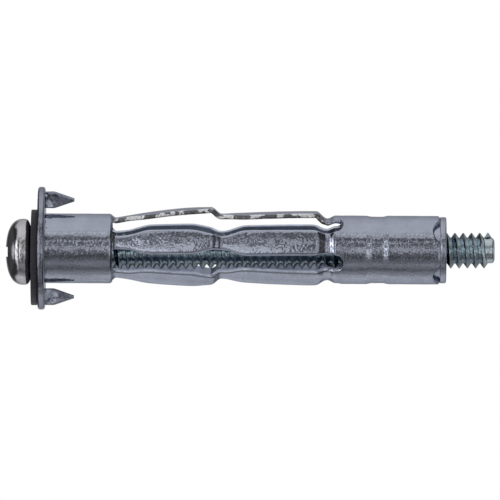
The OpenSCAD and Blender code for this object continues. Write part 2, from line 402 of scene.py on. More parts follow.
def noise_at(nodes, scale, stretch=(1, 1, 1), detail=3.0, rough=0.55, shift=0.0):
    """Noise in the piece's own space. scale is in cycles for each millimetre."""
    where = nodes.add("ShaderNodeTexCoord").outputs["Object"]
    mapped = nodes.add(
        "ShaderNodeMapping",
        {
            "Vector": where,
            "Location": (shift, shift, shift),
            "Scale": tuple(s * scale / MM for s in stretch),
        },
    )
    return nodes.add(
        "ShaderNodeTexNoise",
        {"Vector": mapped.outputs[0], "Scale": 1.0, "Detail": detail, "Roughness": rough},
    ).outputs[0]


def bumped(nodes, layers):
    """Stacks bumps. Each layer is (height socket, depth in millimetres)."""
    normal = None
    for height, depth in layers:
        inputs = {"Height": height, "Strength": 1.0, "Distance": depth * MM}
        if normal:
            inputs["Normal"] = normal
        normal = nodes.add("ShaderNodeBump", inputs).outputs[0]
    return normal


def scaled(colour, factor):
    """A colour made darker or brighter."""
    return tuple(c * factor for c in colour)


def metal(name, colour, rough, bumps, mottle=(0.82, 1.12), spots=0.5, patches=(0.3, 0.7)):
    """Plated steel with a mottled colour. rough is its lowest and highest roughness. Each bump is
    (cycles for each millimetre, stretch, depth in millimetres). mottle is how dark and how bright
    its patches are, spots their cycles for each millimetre, and patches where the noise is each."""
    material = bpy.data.materials.new(name)
    material.use_nodes = True
    nodes = Nodes(material.node_tree)
    cloud = noise_at(nodes, spots, detail=4.0, rough=0.6)
    shades = [scaled(colour, factor) for factor in mottle]
    tint = nodes.ramp(cloud, list(zip(patches, shades)))
    wear = noise_at(nodes, 2.2, detail=3.0, shift=3.7)
    low, high = rough
    gloss = nodes.add(
        "ShaderNodeMapRange",
        {"Value": wear, "From Min": 0.3, "From Max": 0.7, "To Min": low, "To Max": high},
    ).outputs[0]
    layers = []
    for scale, stretch, depth in bumps:
        layers.append((noise_at(nodes, scale, stretch, detail=0.0, shift=scale), depth))
    shader = nodes.add(
        "ShaderNodeBsdfPrincipled",
        {
            "Base Color": tint,
            "Metallic": 1.0,
            "Roughness": gloss,
            "Specular Tint": (*RIM_TINT, 1),
            "Normal": bumped(nodes, layers),
        },
    )
    nodes.add("ShaderNodeOutputMaterial", {"Surface": shader.outputs[0]})
    return material


def fibre(name):
    """Dark pressed fibre: nearly black, matt, with fine short hairs."""
    material = bpy.data.materials.new(name)
    material.use_nodes = True
    nodes = Nodes(material.node_tree)
    flecks = noise_at(nodes, 3.0, stretch=(1, 1, 3), detail=5.0, rough=0.7)
    tint = nodes.ramp(flecks, [(0.3, (0.016, 0.016, 0.022)), (0.75, (0.055, 0.055, 0.068))])
    shader = nodes.add(
        "ShaderNodeBsdfPrincipled",
        {
            "Base Color": tint,
            "Roughness": 0.55,
            "Normal": bumped(nodes, [(flecks, 0.02), (noise_at(nodes, 12.0), 0.004)]),
        },
    )
    nodes.add("ShaderNodeOutputMaterial", {"Surface": shader.outputs[0]})
    return material


sleeve_metal = metal(
    "sleeve_plating", ZINC, (0.04, 0.07), [(0.8, ALONG, 0.015), (4.4, ROUND, 0.012)],
    mottle=(0.9, 1.08),
)
# The cut edges and the rounded columns beside them are painted 1.5 times brighter than the plating: a
# painted highlight for the light they catch
cut_metal_painted_bright = metal(
    "cut_edge_painted_bright", scaled(ZINC, 1.5), (0.28, 0.4), [(1.5, ROUND, 0.03), (3.6, ROUND, 0.02)],
    mottle=(0.8, 1.15), spots=1.3,
)
# The inside is the same plating, painted 1.35 times brighter: painted light against the shade inside
# the sleeve
inner_metal_painted_bright = metal(
    "sleeve_inside_painted_bright", scaled(ZINC, 1.35), (0.4, 0.5), [(1.5, ROUND, 0.03), (3.6, ROUND, 0.02)],
)
# Painted highlight for the top leg's cut edge: near-white patches with dark patches between, copying
# the light and dark that the edge reflects
edge_highlight_metal = metal(
    "painted_highlight_edge", (0.95, 0.96, 1.0), (0.2, 0.4), [(0.9, ROUND, 0.12), (3.6, ROUND, 0.05)],
    mottle=(0.2, 1.05), spots=0.75, patches=(0.5, 0.54),
)
plate_metal = metal(
    "plate_plating", scaled(ZINC, 0.85), (0.08, 0.16), [(1.2, ROUND, 0.04), (3.4, ROUND, 0.02)],
    mottle=(0.7, 1.1), spots=0.9,
)
torn_metal = metal(
    "prong_metal", scaled(ZINC, 0.8), (0.12, 0.24), [(1.1, ROUND, 0.16), (3.2, ROUND, 0.03)],
    mottle=(0.6, 1.5), spots=1.4,
)
nut_metal = metal(
    "nut_plating", ZINC, (0.1, 0.16), [(1.4, ROUND, 0.014), (5.0, ROUND, 0.010)]
)
screw_metal = metal(
    "screw_plating", (0.56, 0.65, 0.70), (0.07, 0.14), [(1.4, ROUND, 0.03), (3.6, ROUND, 0.016)]
)
head_metal = metal(
    "head_plating", (0.62, 0.62, 0.65), (0.07, 0.12), [(0.9, ROUND, 0.04), (3.0, ROUND, 0.012)]
)
washer_fibre = fibre("washer_fibre")


# ---------------------------------------------------------------- sleeve


def collar_radius(x):
    """Outside of the front collar, drawn in at its nose."""
    return COLLAR_R - (COLLAR_R - FOLD_R) * ease(x, NOSE_START, FRONT_FOLD)


def tail_radius(x):
    """Outside of the tail collar, with its shoulder, groove and rolled end."""
    r = FOLD_R + (TAIL_R - FOLD_R) * ease(x, REAR_FOLD, SHOULDER)
    start, end = GROOVE
    dip = ease(x, start, start + GROOVE_SLOPE) - ease(x, end - GROOVE_SLOPE, end)
    roll = max(0.0, x - (SLEEVE_END - END_ROLL))
    return r - GROOVE_DEPTH * dip - roll


def front_height(x, bow, lift):
    """Outside of a front link: a long bow, then a step down to its middle fold."""
    crest = FRONT_FOLD + BOW_CREST * LINK
    if x < crest:
        share = max(0.0, x - FRONT_FOLD) / (crest - FRONT_FOLD)
        return FOLD_R + bow * math.sin(math.pi / 2 * share**BOW_POWER)
    return FOLD_R + lift + (bow - lift) * (1 - ease(x, crest, MIDDLE_FOLD))


def rear_height(x, bow, lift):
    """Outside of a rear link: a flatter bow that curls in at the tail collar."""
    crest = REAR_FOLD - REAR_CURL
    if x < crest:
        share = max(0.0, x - MIDDLE_FOLD) / (crest - MIDDLE_FOLD)
        return FOLD_R + lift + (bow - lift) * math.sin(math.pi / 2 * share**BOW_POWER)
    return FOLD_R + bow * (1 - ease(x, crest, REAR_FOLD))


def leg_height(x, leg):
    """Outside of a leg's crown anywhere from the front collar to the tail collar."""
    top = leg == 1
    if x < FRONT_FOLD:
        return collar_radius(x)
    if x < MIDDLE_FOLD:
        return front_height(x, TOP_BOW if top else FRONT_BOW, TOP_LIFT if top else 0)
    if x < REAR_FOLD:
        return rear_height(x, TOP_REAR_BOW if top else REAR_BOW, TOP_LIFT if top else 0)
    return tail_radius(x)


def slot_half(root):
    """Half width of a slot that leaves a root of this width on each side."""
    return FOLD_R * math.sin(SECTOR / 2 - math.asin(root / 2 / FOLD_R))


def leg_half_width(x):
    """Half of a leg's width, flared where its slots have round corners and ends."""
    radius = leg_height(x, 2)
    if x < FRONT_SLOT + FRONT_CORNER:
        rise = FRONT_CORNER - min(FRONT_CORNER, x - FRONT_SLOT)
        slot = slot_half(LEG_NARROW) - FRONT_CORNER + math.sqrt(FRONT_CORNER**2 - rise**2)
        return radius * math.sin(SECTOR / 2 - math.asin(slot / radius))
    if x < MIDDLE_FOLD:
        start, end = FRONT_SWELL
        swell = ease(x, FRONT_FOLD + start, FRONT_FOLD + end)
        waist = ease(x, MIDDLE_FOLD - FRONT_WAIST, MIDDLE_FOLD)
        return (LEG_NARROW + (FRONT_WIDE - LEG_NARROW) * (swell - waist)) / 2
    if x < REAR_FOLD:
        swell = ease(x, MIDDLE_FOLD, MIDDLE_FOLD + REAR_SWELL)
        waist = ease(x, REAR_FOLD - REAR_WAIST, REAR_FOLD)
        width = LEG_NARROW + (REAR_WIDE - LEG_NARROW) * swell - (REAR_WIDE - REAR_ROOT) * waist
        return width / 2
    end_r = slot_half(REAR_ROOT)
    reach = min(end_r, max(0.0, x - (REAR_SLOT - end_r)))
    slot = math.sqrt(end_r**2 - reach**2)
    return radius * math.sin(SECTOR / 2 - math.asin(slot / radius))


def bend_radius(x, height):
    """Radius of a leg's curve across: the tube's own at both ends, and flatter between."""
    flat = ease(x, FRONT_FOLD, FRONT_FOLD + FLAT_FADE)
    flat *= 1 - ease(x, REAR_FOLD - FLAT_FADE, REAR_FOLD)
    return 1 / ((1 - flat) / min(height, COLLAR_R) + flat / FLAT_R)


def edge_round(x):
    """Rounding of a leg's outer edges, which runs out at both ends of its slots."""
    share = min(1.0, (x - FRONT_SLOT) / EDGE_FADE, (REAR_SLOT - x) / EDGE_FADE)
    return EDGE_ROUND * max(EDGE_LEAST, share)


def rounded_row(half, corner):
    """Points across a leg as (distance from its middle, drop), with both corners rounded."""
    right = []
    for i in range(EDGE_STEPS + 1):
        turn = math.pi / 2 * i / EDGE_STEPS
        right.append((half - corner * (1 - math.sin(turn)), corner * (1 - math.cos(turn))))
    left = [(-across, drop) for across, drop in reversed(right)]
    flat = half - corner
    return left + [(flat * (2 * j / COLUMNS - 1), 0.0) for j in range(1, COLUMNS)] + right


def sheet_rows(x):
    """Points across a leg's outer and inner faces as (distance from its middle, depth)."""
    half = leg_half_width(x)
    outer = rounded_row(half, edge_round(x))
    inner = rounded_row(half, edge_round(x) * INNER_ROUND / EDGE_ROUND)
    return [outer, [(across, WALL - drop) for across, drop in inner]]


def leg_section(x, leg):
    """Outer and inner points across a leg at one place, square to the leg's slope there."""
    bearing = LEG_TURN + SECTOR * (leg - 1)
    height = leg_height(x, leg)
    reach = 0.02
    slope = math.atan((leg_height(x + reach, leg) - leg_height(x - reach, leg)) / (2 * reach))
    curve = bend_radius(x, height)
    rows = []
    for line in sheet_rows(x):
        row = []
        for across, depth in line:
            a = math.asin(across / curve)
            drop = curve - (curve - depth) * math.cos(a)
            point = place(
                x + drop * math.sin(slope),
                (curve - depth) * math.sin(a),
                height - drop * math.cos(slope),
                bearing,
            )
            row.append(ripple(point))
        rows.append(row)
    return rows


def knuckle_sections(leg):
    """Sections turned about the rear fold, which fill its inside as the leg folds out."""
    bearing = LEG_TURN + SECTOR * (leg - 1)
    across = place(0, 1, 0, bearing)
    pivot = place(REAR_FOLD, 0, FOLD_R, bearing)
    flat = leg_section(REAR_FOLD, leg)
    sections = []
    for i in range(1, KNUCKLE_STEPS + 1):
        turn = Matrix.Rotation(-FOLD_LIMIT * i / KNUCKLE_STEPS, 3, across)
        rows = []
        for row in flat:
            moved = []
            for p in row:
                q = pivot + turn @ (p - pivot)
                limit = tail_radius(q.x) - KNUCKLE_GAP
                shrink = min(1, limit / math.hypot(q.y, q.z))
                moved.append(Vector((q.x, q.y * shrink, q.z * shrink)))
            rows.append(moved)
        sections.append(rows)
    return sections


def stations(start, end, fold, half):
    """Places along a leg: even ones, and closer ones through its fold."""
    even = {x for x in spaced(start, end, STEP) if abs(x - fold) > half or x in (start, end)}
    close = spaced(max(start, fold - half), min(end, fold + half), 2 * half / BEND_STEPS)
    return sorted(even | set(close))


def merged(places, closest=0.01):
    """Drops places that are closer together than the shortest step."""
    kept = [places[0]]
    for x in places[1:-1]:
        if x - kept[-1] > closest and places[-1] - x > closest:
            kept.append(x)
    return kept + [places[-1]]


def corner_places():
    """Places through the front slots' round corners."""
    turns = [math.pi / 2 * i / CORNER_STEPS for i in range(CORNER_STEPS + 1)]
    return [FRONT_SLOT + FRONT_CORNER * (1 - math.cos(turn)) for turn in turns]


def slot_end_places():
    """Places through the rear slots' round ends."""
    end_r = slot_half(REAR_ROOT)
    turns = [math.pi / 2 * i / SLOT_END_STEPS for i in range(SLOT_END_STEPS + 1)]
    return [REAR_SLOT - end_r + end_r * math.sin(turn) for turn in turns]


def leg_piece(part, leg, places, nodes, extra=()):
    """One closed stretch of a leg. The top leg's cut edges get painted highlights: near-white patches
    with dark ones between.
    """
    bm = bmesh.new()
    sections = [leg_section(x, leg) for x in places] + list(extra)
    add_sheet(bm, sections, [True] * (len(sections) - 1), CUT_COLUMNS)
    # Only the top leg's cut edges take the painted highlight patches
    edge_metal = edge_highlight_metal if leg == 1 else cut_metal_painted_bright
    materials = [sleeve_metal, edge_metal, inner_metal_painted_bright]
    return new_piece(f"leg_{leg}_{part}", bm, materials, nodes)


def bend(piece):
    """Bakes a piece's placement into its mesh."""
    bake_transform(piece)


def make_leg(leg):
    """A leg's three stretches, each drawn through one of its folds. Only leg 2 joins the tail collar:
    the others end in a knuckle under its edge."""
    front = f"front_leg_{leg}"
    rear = f"rear_leg_{leg}"
    rear_link = f"rear_link_{leg}"
    bent = stations(FRONT_SLOT, FRONT_CUT, FRONT_FOLD, FRONT_BEND)
    places = merged(sorted(set(corner_places()) | set(bent)))
    piece = leg_piece("front", leg, places, [front])
    bend(piece)
    places = merged(stations(FRONT_CUT, REAR_CUT, MIDDLE_FOLD, MIDDLE_BEND))
    piece = leg_piece("middle", leg, places, [front, rear])
    bend(piece)
    if leg == 2:
        bent = stations(REAR_CUT, REAR_SLOT, REAR_FOLD, REAR_BEND)
        places = merged(sorted(set(slot_end_places()) | set(bent)))
        piece = leg_piece("rear", leg, places, [rear])
        bend(piece)
    else:
        places = merged(spaced(REAR_CUT, REAR_FOLD, STEP))
        piece = leg_piece("rear", leg, places, [rear], knuckle_sections(leg))
        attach(piece, rear_link)


def make_collar():
    """The front collar, flared into the flange's countersink."""
    nose = spaced(NOSE_START, FRONT_SLOT, NOSE_STEP)
    line = [(FLANGE_BACK, COLLAR_R + COLLAR_FLARE), (FLANGE_BACK + FLARE_DEPTH, COLLAR_R)]
    line += [(x, COLLAR_R) for x in spaced(0, NOSE_START, STEP)[:-1]]
    line += [(x, collar_radius(x)) for x in nose]
    inside = [(x, r - WALL) for x, r in reversed(line)]
    bm = bmesh.new()
    add_lathe(bm, line + inside, COLLAR_STEPS, cut=(len(line) - 1, 2 * len(line) - 1))
    for face in bm.faces:
        middle = face.calc_center_median()
        if face.material_index == OUTSIDE and math.hypot(middle.y, middle.z) < FOLD_R - WALL / 2:
            face.material_index = INSIDE
    for v in bm.verts:
        v.co = ripple(v.co)
    materials = [sleeve_metal, cut_metal_painted_bright, inner_metal_painted_bright]
    piece = new_piece("collar_tube", bm, materials, ["front_collar"])
    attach(piece, "flange")


def end_place(x, bearing):
    """Moves a place near the sleeve's end to follow its scalloped edge."""
    gather = SLEEVE_END - SCALLOP_GATHER
    if x <= gather:
        return x
    edge = SLEEVE_END
    for i in range(SCALLOPS):
        centre = SCALLOP_TURN + 2 * math.pi * (i + 0.5) / SCALLOPS
        t = TAIL_R * math.sin(bearing - centre)
        if math.cos(bearing - centre) > 0 and abs(t) < SCALLOP_R:
            bite = SLEEVE_END - SCALLOP_DEPTH + SCALLOP_R - math.sqrt(SCALLOP_R**2 - t**2)
            edge = min(edge, bite)
    return gather + (x - gather) * (edge - gather) / (SLEEVE_END - gather)


def tail_section(x, bearing):
    """Outer and inner points across one leg's share of the tail collar, or across its lug."""
    radius = tail_radius(x)
    columns = COLUMNS + 2 * EDGE_STEPS
    even = [SECTOR * (j / columns - 0.5) for j in range(columns + 1)]
    lines = [[(a, depth) for a in even] for depth in (0.0, WALL)]
    if x < REAR_SLOT:
        lines = [[(math.asin(w / radius), depth) for w, depth in row] for row in sheet_rows(x)]
    rows = []
    for line in lines:
        row = []
        for a, depth in line:
            r = radius - depth
            point = place(x, r * math.sin(a), r * math.cos(a), bearing)
            point.x = end_place(x, bearing - a)
            row.append(ripple(point))
        rows.append(row)
    return rows


def make_tail():
    """The tail collar with the lugs of four legs. Leg 2's lug is drawn with its leg instead."""
    even_lug = spaced(REAR_FOLD, REAR_SLOT, STEP)
    lug_places = merged(sorted(set(even_lug) | set(slot_end_places())))
    even_ring = spaced(REAR_SLOT, SLEEVE_END, STEP)
    groove = spaced(*GROOVE, GROOVE_STEP)
    roll = spaced(SLEEVE_END - END_ROLL, SLEEVE_END, ROLL_STEP)
    ring_places = merged(sorted(set(even_ring) | set(groove) | set(roll)), 0.03)
    bm = bmesh.new()
    for leg in range(1, LEGS + 1):
        bearing = LEG_TURN + SECTOR * (leg - 1)
        places = ring_places if leg == 2 else lug_places[:-1] + ring_places
        sections = [tail_section(x, bearing) for x in places]
        add_sheet(bm, sections, [x < REAR_SLOT for x in places[:-1]])
    bmesh.ops.remove_doubles(bm, verts=bm.verts[:], dist=1e-4)
    materials = [sleeve_metal, cut_metal_painted_bright, inner_metal_painted_bright]
    piece = new_piece("tail_tube", bm, materials, ["tail_collar"])
    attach(piece, "tail")


# ---------------------------------------------------------------- flange, nut and washer

# A prong: its inner edge, width and thickness, where it narrows and how softly, the half width
# of its point, and its rounding
PRONG_INNER = 3.85
PRONG_WIDTH = 1.6
PRONG_T = 0.55
PRONG_REACH = 0.86
PRONG_SOFT = 0.18
PRONG_POINT = 0.12
PRONG_CORNER = 0.13
# How far a prong reaches into the plate, and how far from it the prong turns and gets rough
PRONG_ROOT = 0.35
PRONG_TURN = 1.2
PRONG_ROUGH = 0.5
PRONG_DENT = 0.045
# The place of each prong round the plate, and its twist, in degrees
PRONGS = [(0, -14), (180, 9)]
PRONG_STEP = 0.1
PRONG_STEPS = 4
PRONG_COLUMNS = 8
# The windows are as wide as the prongs and this long
WINDOW = 2.5
RIM_ROUND = 0.25
COUNTERSINK = 0.3
PLATE_STEPS = 144
# Gap between pieces that are pressed together
FIT = 0.02
# Clearance of the nut's bore, so that the leaning screw still passes when the sleeve has folded
NUT_CLEAR = 0.22
NUT_CHAMFER = 0.2
NUT_ROUND = 0.17
NUT_EDGE = 0.06
BODY_CHAMFER = 0.1
NUT_STEPS = 120
WASHER_HOLE = 2.3
WASHER_CHAMFER = 0.05
WASHER_ROUND = 0.1
WASHER_STEPS = 120


def round_corner(centre_x, centre_r, radius, start, end, steps=6):
    """Points of an arc in a lathe's profile, by angles in degrees."""
    points = []
    for i in range(steps + 1):
        a = math.radians(start + (end - start) * i / steps)
        points.append((centre_x + radius * math.cos(a), centre_r + radius * math.sin(a)))
    return points


def soft_rise(x, a, b):
    """0 up to a, then a straight rise to 1 at b, with the corner at a rounded."""
    if x <= a - PRONG_SOFT:
        return 0.0
    if x < a + PRONG_SOFT:
        return (x - a + PRONG_SOFT) ** 2 / (4 * PRONG_SOFT) / (b - a)
    return (x - a) / (b - a)


def prong_edges(x, length):
    """Lower and upper edge of a prong's outline, from its root at 0 to its point."""
    shrink = (PRONG_WIDTH / 2 - PRONG_POINT) * soft_rise(x, PRONG_REACH, length)
    return PRONG_INNER + shrink, PRONG_INNER + PRONG_WIDTH - shrink


def prong_loop(low, high):
    """Outline (z, y) of a prong's section with round corners, and which of its sides are broad."""
    corner = min(PRONG_CORNER, 0.45 * (high - low))
    near = PRONG_T / 2 - corner
    top = high - corner
    bottom = low + corner
    points = []
    broad = []
    for quarter, (z, y) in enumerate([(top, near), (bottom, near), (bottom, -near), (top, -near)]):
        for i in range(PRONG_STEPS + 1):
            a = math.pi / 2 * (quarter + i / PRONG_STEPS)
            points.append((z + corner * math.cos(a), y + corner * math.sin(a)))
        broad += [False] * PRONG_STEPS + [quarter % 2 == 0]
        if quarter % 2 == 0:
            far = bottom if z == top else top
            side = points[-1][1]
            for i in range(1, PRONG_COLUMNS):
                points.append((z + (far - z) * i / PRONG_COLUMNS, side))
            broad += [True] * (PRONG_COLUMNS - 1)
    return points, broad


def add_prong(bm, bearing, twist):
    """A prong bent out of the plate and a little twisted. Its broad faces are rough."""
    turn = Matrix.Rotation(math.radians(bearing), 3, "X")
    tip = PRONG_TIP_X - FIT
    loops = []
    for x in spaced(-PRONG_ROOT, tip, PRONG_STEP):
        low, high = prong_edges(max(0.0, x), PRONG_TIP_X)
        middle = (low + high) / 2
        angle = math.radians(twist) * ease(x, 0, PRONG_TURN)
        points, broad = prong_loop(low, high)
        loop = []
        for z, y in points:
            turned_z = middle + (z - middle) * math.cos(angle) - y * math.sin(angle)
            turned_y = y * math.cos(angle) + (z - middle) * math.sin(angle)
            dent = noise.noise(Vector((x, turned_y * 3 + bearing, turned_z)) * 1.9)
            turned_y += PRONG_DENT * dent * ease(x, 0, PRONG_ROUGH)
            loop.append(bm.verts.new(turn @ Vector((x, turned_y, turned_z))))
        loops.append(loop)
    for a, b in zip(loops, loops[1:]):
        for j, flat in enumerate(broad):
            k = (j + 1) % len(a)
            bm.faces.new([a[j], a[k], b[k], b[j]]).material_index = 0 if flat else 1
    bm.faces.new(loops[0])
    bm.faces.new(loops[-1])


def window_cutter(bearing):
    """The hole that a prong leaves in the plate, as wide as the prong's outline."""
    turn = Matrix.Rotation(math.radians(bearing), 3, "X")
    outline = []
    for reach in (0, PRONG_REACH, WINDOW):
        low, high = prong_edges(reach, WINDOW)
        outline.append((reach, low))
        outline.insert(0, (reach, high))
    ends = []
    for x in (FLANGE_BACK - 1, 1):
        ends.append([turn @ Vector((x, -PRONG_T / 2 - reach, z)) for reach, z in outline])
    return prism(f"window_{bearing}", *ends)


def make_flange():
    """The plate with its rounded rim and countersink, two windows and two prongs."""
    hole = COLLAR_R + FIT
    rim = FLANGE_R - RIM_ROUND
    profile = [(0, hole)]
    profile += round_corner(-RIM_ROUND, rim, RIM_ROUND, 0, 90)
    profile += round_corner(FLANGE_BACK + RIM_ROUND, rim, RIM_ROUND, 90, 180)
    profile += [(FLANGE_BACK, hole + COUNTERSINK), (FLANGE_BACK + FLARE_DEPTH, hole)]
    bm = bmesh.new()
    add_lathe(bm, profile, PLATE_STEPS)
    plate = new_piece("plate", bm, [plate_metal, torn_metal], ["flange_plate"])
    subtract(plate, [window_cutter(bearing) for bearing, _ in PRONGS])
    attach(plate, "flange")
    bm = bmesh.new()
    for bearing, twist in PRONGS:
        add_prong(bm, bearing, twist)
    prongs = new_piece("prongs", bm, [torn_metal, plate_metal], ["flange_plate"])
    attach(prongs, "flange")


def make_nut():
    """The nut's body inside the tail collar and the flange that closes the sleeve's end."""
    edge_r = NUT_HIGH.z
    back = NUT_LOW.x
    face = NUT_HIGH.x
    flange = SLEEVE_END + FIT
    body_r = TAIL_R - WALL - FIT
    bore = THREAD_R + NUT_CLEAR
    profile = [(back, bore), (back, body_r - BODY_CHAMFER), (back + BODY_CHAMFER, body_r)]
    profile += [(flange, body_r)]
    profile += round_corner(flange + NUT_EDGE, edge_r - NUT_EDGE, NUT_EDGE, 180, 90, 3)
    profile += round_corner(face - NUT_ROUND, edge_r - NUT_ROUND, NUT_ROUND, 90, 0)
    profile += [(face, bore + NUT_CHAMFER), (face - NUT_CHAMFER, bore)]
    bm = bmesh.new()
    add_lathe(bm, profile, NUT_STEPS)
    for v in bm.verts:
        v.co = ripple(v.co, 0.01)
    piece = new_piece("nut_ring", bm, [nut_metal], ["nut"])
    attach(piece, "tail")


def make_washer():
    """A loose fibre washer that hangs on the screw."""
    low = WASHER_LOW.x
    high = WASHER_HIGH.x
    hole = WASHER_HOLE
    edge = WASHER_HIGH.y - WASHER_ROUND
    profile = [(low, hole + WASHER_CHAMFER), (low + WASHER_CHAMFER, hole)]
    profile += [(high - WASHER_CHAMFER, hole), (high, hole + WASHER_CHAMFER)]
    profile += round_corner(high - WASHER_ROUND, edge, WASHER_ROUND, 0, 90, 4)
    profile += round_corner(low + WASHER_ROUND, edge, WASHER_ROUND, 90, 180, 4)
    bm = bmesh.new()
    add_lathe(bm, profile, WASHER_STEPS)
    for v in bm.verts:
        v.co = ripple(v.co, 0.02)
        v.co.z += (WASHER_LOW.z + WASHER_HIGH.z) / 2
    piece = new_piece("washer_ring", bm, [washer_fibre], ["washer"])
    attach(piece, "washer")


# ---------------------------------------------------------------- screw


def open_loops(bm):
    """The edges round each opening of a mesh, as separate lists."""
    left = [e for e in bm.edges if e.is_boundary]
    loops = []
    while left:
        edge = left.pop(0)
        loop = [edge]
        grow = list(edge.verts)
        while grow:
            v = grow.pop()
            for e in v.link_edges:
                if e in left:
                    left.remove(e)
                    loop.append(e)
                    grow.append(e.other_vert(v))
        loops.append(loop)
    return loops


def add_thread(bm, end):
    """A right-hand thread, faded into the core at both ends and closed there. Each row of points
    crosses one pitch, so the rows make one turn less than the thread."""
    start = end - TURNS * PITCH
    rows = []
    for s in range((TURNS - 1) * THREAD_STEPS + 1):
        turn = 2 * math.pi * s / THREAD_STEPS
        row = []
        for share, lift in THREAD_PROFILE:
            x = start + PITCH * (s / THREAD_STEPS + share)
            fading = ease(x, start, start + THREAD_FADE) * (1 - ease(x, end - THREAD_FADE, end))
            r = ROOT_R + (THREAD_R - ROOT_R) * lift * fading
            row.append(bm.verts.new((x, -r * math.sin(turn), r * math.cos(turn))))
        rows.append(row)
    for s in range(len(rows) - 1):
        a = list(rows[s])
        b = list(rows[s + 1])
        if s + 1 + THREAD_STEPS < len(rows):
            a.append(rows[s + THREAD_STEPS][0])
            b.append(rows[s + 1 + THREAD_STEPS][0])
        for j in range(len(a) - 1):
            bm.faces.new([a[j], a[j + 1], b[j + 1], b[j]])
    for edges in open_loops(bm):
        bmesh.ops.contextual_create(bm, geom=edges)


def head_profile():
    """The pan head's side view, from its apex round its widest place to the neck."""
    widest = HEAD_SEAT - HEAD_WAIST
    dome = HEAD_H - HEAD_WAIST
    points = []
    for i in range(DOME_STEPS + 1):
        u = math.cos(math.pi / 2 * i / DOME_STEPS)
        points.append((widest - dome * u, HEAD_R * (1 - u**DOME_POWER) ** (1 / DOME_POWER)))
    for i in range(1, UNDER_STEPS + 1):
        u = HEAD_WAIST / UNDER_REACH * i / UNDER_STEPS
        r = HEAD_R * (1 - u**UNDER_POWER) ** (1 / UNDER_POWER)
        points.append((widest + UNDER_REACH * u, r))
    return points + [(HEAD_SEAT, ROOT_R + NECK_FILLET), (HEAD_SEAT + NECK_FILLET, ROOT_R)]


def add_shaft(bm, line):
    """Turns a line of (x, radius) about the X axis. Its first and last points are on the axis."""
    first = bm.verts.new((line[0][0], 0, 0))
    last = bm.verts.new((line[-1][0], 0, 0))
    rings = []
    for i in range(SCREW_STEPS):
        turn = 2 * math.pi * i / SCREW_STEPS
        rings.append([bm.verts.new(place(x, 0, r, turn)) for x, r in line[1:-1]])
    for a, b in zip(rings, rings[1:] + rings[:1]):
        bm.faces.new([first, a[0], b[0]])
        bm.faces.new([last, b[-1], a[-1]])
        for j in range(len(a) - 1):
            bm.faces.new([a[j], a[j + 1], b[j + 1], b[j]])


def recess_cutter(degrees):
    """One bar of the cross recess, which narrows towards its bottom."""
    spin = Matrix.Rotation(math.radians(degrees), 3, "X")
    above = 1
    top = HEAD_SEAT - HEAD_H - above
    bottom = HEAD_SEAT - HEAD_H + RECESS_DEPTH
    spread = RECESS_R + (RECESS_R - RECESS_BOTTOM) / RECESS_DEPTH * above
    outline = [(top, -spread), (bottom, -RECESS_BOTTOM), (bottom, RECESS_BOTTOM), (top, spread)]
    ends = []
    for y in (-RECESS_W / 2, RECESS_W / 2):
        ends.append([spin @ Vector((x, y, z)) for x, z in outline])
    return prism(f"recess_{degrees}", *ends)


def lean(obj):
    """Tips a screw piece drawn on the X axis to the line that the screw turns about."""
    about = Matrix.Translation(LEAN_AT * MM)
    back = Matrix.Translation((-LEAN_AT.x * MM, 0, 0))
    obj.data.transform(about @ LEAN @ back)


def make_screw():
    """The pan head with its cross recess, on a plain core, and the thread round the core."""
    tip = HEAD_SEAT + SCREW_LENGTH
    line = head_profile()
    line += [(tip - back, CORE_R - drop) for back, drop in TIP_PROFILE]
    line.append((tip, 0))
    bm = bmesh.new()
    add_shaft(bm, line)
    for face in bm.faces:
        face.material_index = 1 if face.calc_center_median().x < HEAD_SEAT else 0
    body = new_piece("screw_head", bm, [screw_metal, head_metal], ["screw"])
    subtract(body, [recess_cutter(degrees) for degrees in (0, 90)])
    lean(body)
    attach(body, "screw")
    bm = bmesh.new()
    add_thread(bm, tip - THREAD_STOP)
    thread = new_piece("screw_thread", bm, [screw_metal], ["screw"])
    lean(thread)
    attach(thread, "screw")


# ---------------------------------------------------------------- studio

# The room that the metal reflects. Each band round the screw's axis is (degrees above the
# camera's direction, brightness), with dark gaps between soft white panels
BANDS = [
    (-180, 0.75), (-138, 0.95), (-106, 0.88), (-86, 0.43), (-70, 0.2), (-60, 0.36),
    (-50, 0.42), (-38, 0.3), (-27, 0.2), (-18, 0.3), (-9, 0.4), (2, 0.66), (12, 0.6),
    (22, 0.45), (42, 0.41), (50, 0.6), (58, 1.0), (90, 1.05), (145, 0.95), (180, 0.75),
]
# How busy the room is in the same directions
CLUTTER = [(-180, 0.1), (-40, 0.25), (-26, 1.0), (48, 1.0), (60, 0.05), (180, 0.05)]
# Panels to the left and right, as (degrees towards +X from the camera's direction, brightness)
SIDES = [
    (-180, 0.5), (-150, 0.12), (-72, 0.12), (-64, 1.9), (-48, 1.9), (-40, 0.25),
    (-28, 0.3), (-22, 1.3), (-8, 1.1), (0, 0.55), (20, 0.75), (34, 0.6), (50, 0.1),
    (82, 0.12), (105, 0.6), (140, 0.75), (180, 0.6),
]
# How those panels fade up and down, as (height of the direction from -1 to 1, share)
HEIGHTS = [(-1, 0.5), (-0.5, 0.5), (-0.35, 1), (0.4, 1), (0.55, 0.45), (1, 0.45)]
# Ramps hold shares of this brightness
BRIGHTEST = 2.0
# Brightness of the panels straight off the head's end and the tip's end
END_LIGHT = 0.8
# Brightness of the whole room
ROOM = 0.68
# How much darker and brighter the patches of a busy room are, and how many there are
DARKER = 0.5
BRIGHTER = 1.1
CLUTTER_SCALE = 9.0

FLOOR_HALF = 1.5
FLOOR_HEIGHT = -0.25
FLOOR_GLOW = 0.4

